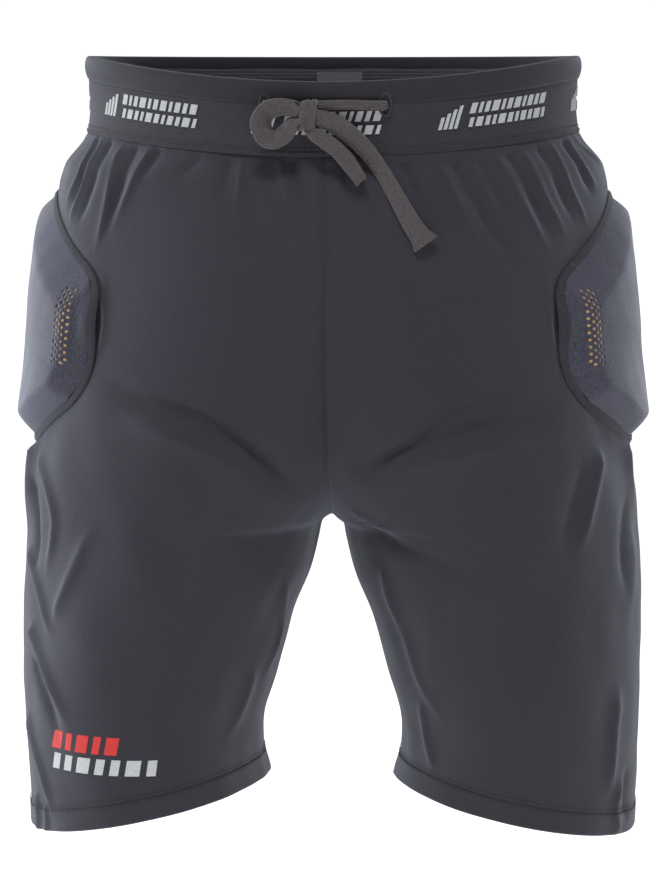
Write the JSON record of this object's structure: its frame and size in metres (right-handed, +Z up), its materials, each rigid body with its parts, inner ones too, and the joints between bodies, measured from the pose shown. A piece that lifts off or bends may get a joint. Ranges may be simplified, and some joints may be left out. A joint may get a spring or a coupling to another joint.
{
  "type": "padded impact shorts",
  "caption": "Knee-length jersey shorts with an elastic drawcord waistband and moulded foam pads over the hips and tailbone.",
  "frame": {"origin": "middle of the waist opening, level with the top of the waistband at the wearer's sides", "axes": "+Z up, the wearer faces -Y, +X is the wearer's left"},
  "size_m": [0.4054, 0.2735, 0.497],
  "materials": {
    "jersey": "matte stretch jersey",
    "hem_jersey": "matte stretch jersey, double layer",
    "band_knit": "knitted elastic with woven-in pale pattern",
    "elastic": "ribbed elastic",
    "lining_knit": "smooth knit",
    "thread": "dense stitching",
    "drawcord_tape": "soft flat jersey tape",
    "pad_cover_knit": "moulded knit laminate",
    "impact_foam": "matte foam",
    "soft_foam": "open-cell foam",
    "binding_tape": "matte knitted binding",
    "woven_label": "satin woven label, blank"
  },
  "bodies": {
    "shorts": {"waistband_top_fold": "band_knit", "waistband_facing": "band_knit", "waistband_elastic": "elastic", "waistband_lining": "lining_knit", "care_label": "woven_label", "left_buttonhole": "thread", "right_buttonhole": "thread", "left_front_panel": "jersey", "left_back_panel": "jersey", "right_front_panel": "jersey", "right_back_panel": "jersey", "left_hem": "hem_jersey", "right_hem": "hem_jersey", "left_hip_pad_cover": "pad_cover_knit", "left_hip_pad_outer_foam": "impact_foam", "left_hip_pad_inner_foam": "soft_foam", "left_hip_pad_backing": "lining_knit", "left_hip_pad_binding": "binding_tape", "right_hip_pad_cover": "pad_cover_knit", "right_hip_pad_outer_foam": "impact_foam", "right_hip_pad_inner_foam": "soft_foam", "right_hip_pad_backing": "lining_knit", "right_hip_pad_binding": "binding_tape", "tailbone_pad_cover": "pad_cover_knit", "tailbone_pad_foam": "impact_foam", "tailbone_pad_backing": "lining_knit", "tailbone_pad_binding": "binding_tape", "drawcord_in_waistband": "drawcord_tape", "drawcord_left_lead": "drawcord_tape", "drawcord_right_lead": "drawcord_tape", "drawcord_knot": "drawcord_tape"},
    "long_tail": {"drawcord_long_tail": "drawcord_tape"},
    "right_loop": {"drawcord_right_loop": "drawcord_tape"},
    "left_loop": {"drawcord_left_loop": "drawcord_tape"}
  },
  "joints": [
    {"name": "long_tail_lift", "type": "hinge", "parent": "shorts", "child": "long_tail", "pos_m": [-0.00228, -0.12188, -0.039], "axis": [-0.6606, 0, -0.7507], "range_deg": [0, 100]},
    {"name": "right_loop_lift", "type": "hinge", "parent": "shorts", "child": "right_loop", "pos_m": [-0.0089, -0.12309, -0.0495], "axis": [-0.9404, 0, -0.3401], "range_deg": [0, 80]},
    {"name": "left_loop_lift", "type": "hinge", "parent": "shorts", "child": "left_loop", "pos_m": [-0.01912, -0.12401, -0.0345], "axis": [0, 0, 1], "range_deg": [0, 70]}
  ]
}
